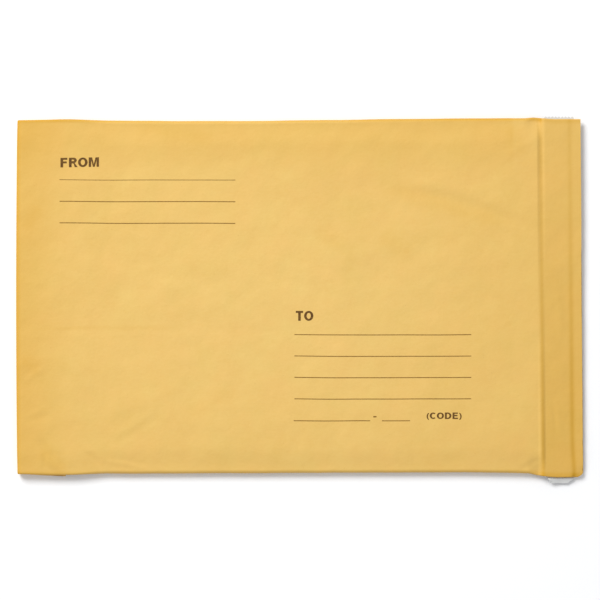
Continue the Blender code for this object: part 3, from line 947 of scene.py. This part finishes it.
# Bold capitals drawn in a box 1 high. Each is a width and closed outlines, holes included.
def drawLetter(letter, stem):
    bar = stem * 0.84
    if letter == "F":
        foot = [(0, 0), (stem, 0), (stem, 0.42), (0.56, 0.42), (0.56, 0.42 + bar), (stem, 0.42 + bar)]
        return 0.66, [foot + [(stem, 1 - bar), (0.62, 1 - bar), (0.62, 1), (0, 1)]]
    if letter == "E":
        foot = [(0, 0), (0.66, 0), (0.66, bar), (stem, bar), (stem, 0.43)]
        arm = [(0.60, 0.43), (0.60, 0.43 + bar), (stem, 0.43 + bar)]
        return 0.70, [foot + arm + [(stem, 1 - bar), (0.64, 1 - bar), (0.64, 1), (0, 1)]]
    if letter == "T":
        left, right = 0.34 - stem / 2, 0.34 + stem / 2
        post = [(left, 0), (right, 0), (right, 1 - bar)]
        return 0.68, [post + [(0.68, 1 - bar), (0.68, 1), (0, 1), (0, 1 - bar), (left, 1 - bar)]]
    if letter == "M":
        post, point, slope = stem * 0.9, stem * 0.341, stem * 1.25
        feet = [(0, 0), (post, 0), (post, 0.74), (0.46 - point, 0), (0.46 + point, 0)]
        feet += [(0.92 - post, 0.74), (0.92 - post, 0), (0.92, 0)]
        return 0.92, [feet + [(0.92, 1), (0.92 - slope, 1), (0.46, 0.30), (slope, 1), (0, 1)]]
    if letter == "O":
        outer, inner = roundBand(0.86, stem, 0, 360)
        return 0.86, [outer[:-1], inner[-2::-1]]
    if letter == "C":
        outer, inner = roundBand(0.84, stem, 48, 312)
        return 0.73, [outer + inner[::-1]]
    if letter == "D":
        outer = [(0, 0)] + arcPoints(0.34, 0.5, 0.44, 0.5, -90, 90, 18) + [(0, 1)]
        inner = [(stem, bar)] + arcPoints(0.34, 0.5, 0.44 - stem, 0.5 - bar, -90, 90, 18) + [(stem, 1 - bar)]
        return 0.80, [outer, inner[::-1]]
    if letter == "R":
        bowl = arcPoints(0.42, 0.72, 0.28, 0.28, -90, 90, 14)
        hole = arcPoints(0.42, 0.72, 0.28 - stem, 0.28 - bar, -90, 90, 14)
        leg = [(0, 0), (stem, 0), (stem, 0.40), (0.36, 0.40), (0.36 + stem * 0.3, 0.34)]
        leg += [(0.52, 0), (0.52 + stem * 1.12, 0), (0.56, 0.36), (0.52, 0.45)]
        return 0.72, [leg + bowl[3:] + [(0, 1)], ([(stem, 0.44 + bar)] + hole + [(stem, 1 - bar)])[::-1]]
    outer = arcPoints(0.62, 0.40, 0.56, 0.70, 130, 230, 12)
    inner = arcPoints(0.62, 0.40, 0.56 - stem * 0.7, 0.64, 130, 230, 12)
    shape = outer + inner[::-1]
    return 0.32, [shape if letter == "(" else [(0.34 - x, y) for x, y in shape]]


# A word set to a width and a cap height, as thin solids
def letterMesh(bm, word):
    left, baseline, width, height, stem, gap, tilt = words[word]
    curve = bpy.data.curves.new("word", "CURVE")
    curve.dimensions = "2D"
    curve.fill_mode = "BOTH"
    curve.extrude = 0.01
    pen = 0.0
    for letter in word:
        advance, outlines = drawLetter(letter, stem)
        for outline in outlines:
            spline = curve.splines.new("POLY")
            spline.points.add(len(outline) - 1)
            for point, (x, y) in zip(spline.points, outline):
                point.co = (pen + x, y, 0, 1)
            spline.use_cyclic_u = True
        pen += advance + gap
    holder = bpy.data.objects.new("word", curve)
    bpy.context.scene.collection.objects.link(holder)
    bpy.context.view_layer.update()
    mesh = bpy.data.meshes.new_from_object(holder.evaluated_get(bpy.context.evaluated_depsgraph_get()))
    for vert in mesh.vertices:
        x = vert.co.x / (pen - gap) * width
        y = baseline + vert.co.y * height + tilt * x
        vert.co = (closedX + left + x, y, 1.0 if vert.co.z > 0 else 0.0)
    bm.from_mesh(mesh)
    bpy.data.objects.remove(holder)
    bpy.data.curves.remove(curve)
    bpy.data.meshes.remove(mesh)
    bmesh.ops.remove_doubles(bm, verts=bm.verts, dist=0.000002)


lettersInk = inkMaterial("letterInk", letterInk)
rulesInk = inkMaterial("ruleInk", ruleInk)


def inkPiece(name, build, ink):
    bm = bmesh.new()
    build(bm)
    return newPiece(name, layInk(bm), ink, [], 30)


def senderRules(bm):
    left = closedX + form["left"]
    for i, width in enumerate((form["firstRule"], form["ruleWidth"], form["ruleWidth"])):
        y = form["firstY"] - form["pitch"] * i
        ruleMesh(bm, left, left + form["ruleLength"], y, width, 1.0 + i, form["tilt"])


def addresseeRules(bm):
    left = closedX + form["toLeft"]
    for i in range(4):
        y = form["toFirstY"] - form["toPitch"] * i
        ruleMesh(bm, left, left + form["toRuleLength"], y, form["ruleWidth"], 11.0 + i, form["toTilt"])
    for i, (start, end, above, width) in enumerate(lastLine):
        ruleMesh(bm, left + start, left + end, form["lastY"] + above, width, 21.0 + i)


inkPiece("printSender", lambda bm: letterMesh(bm, "FROM"), lettersInk)
inkPiece("printSenderRules", senderRules, rulesInk)
inkPiece("printAddressee", lambda bm: letterMesh(bm, "TO"), lettersInk)
inkPiece("printAddresseeRules", addresseeRules, rulesInk)
inkPiece("printCode", lambda bm: letterMesh(bm, "(CODE)"), lettersInk)
print("address form printed")


studio = {
    "lens": 170.0, "height": 2.11, "aim": (0.0000, 0.0001),
    "world": 0.605, "worldColour": (0.97, 0.98, 1.0, 1),
    "key": 138.0, "keyFrom": (-1.75, 2.35, 2.68), "keySize": 2.0,
    "floor": (0.93, 0.93, 0.93, 1), "floorShade": (0.925, 0.925, 0.93, 1), "floorSize": 8.0,
}


def floorMaterial():
    material, tree, shader, position = newMaterial("paleFloor", 0.8, 0.2)
    shade = cloudMask(tree, position, 3.0, 0.3, 7.0)
    colour = mixColours(tree, shade, studio["floor"], studio["floorShade"])
    tree.links.new(colour, shader.inputs["Base Color"])
    return material


def buildStudio():
    bpy.ops.mesh.primitive_plane_add(size=studio["floorSize"], location=(0, 0, -0.00005))
    floor = bpy.context.object
    floor.name = "studioFloor"
    floor.data.materials.append(floorMaterial())

    world = bpy.data.worlds.new("softRoom")
    bpy.context.scene.world = world
    world.use_nodes = True
    background = world.node_tree.nodes["Background"]
    background.inputs["Color"].default_value = studio["worldColour"]
    background.inputs["Strength"].default_value = studio["world"]

    lamp = bpy.data.lights.new("keyLight", "AREA")
    lamp.shape = "DISK"
    lamp.size = studio["keySize"]
    lamp.energy = studio["key"]
    key = bpy.data.objects.new("keyLight", lamp)
    bpy.context.scene.collection.objects.link(key)
    key.location = studio["keyFrom"]
    key.rotation_euler = (Vector((0, 0, 0)) - key.location).to_track_quat("-Z", "Y").to_euler()

    view = bpy.data.cameras.new("camera")
    view.lens = studio["lens"]
    view.sensor_width = 36.0
    view.clip_start = 0.05
    camera = bpy.data.objects.new("camera", view)
    bpy.context.scene.collection.objects.link(camera)
    camera.location = (*studio["aim"], studio["height"])
    bpy.context.scene.camera = camera
    bpy.context.scene.view_settings.view_transform = "Standard"


buildStudio()
print("studio ready")
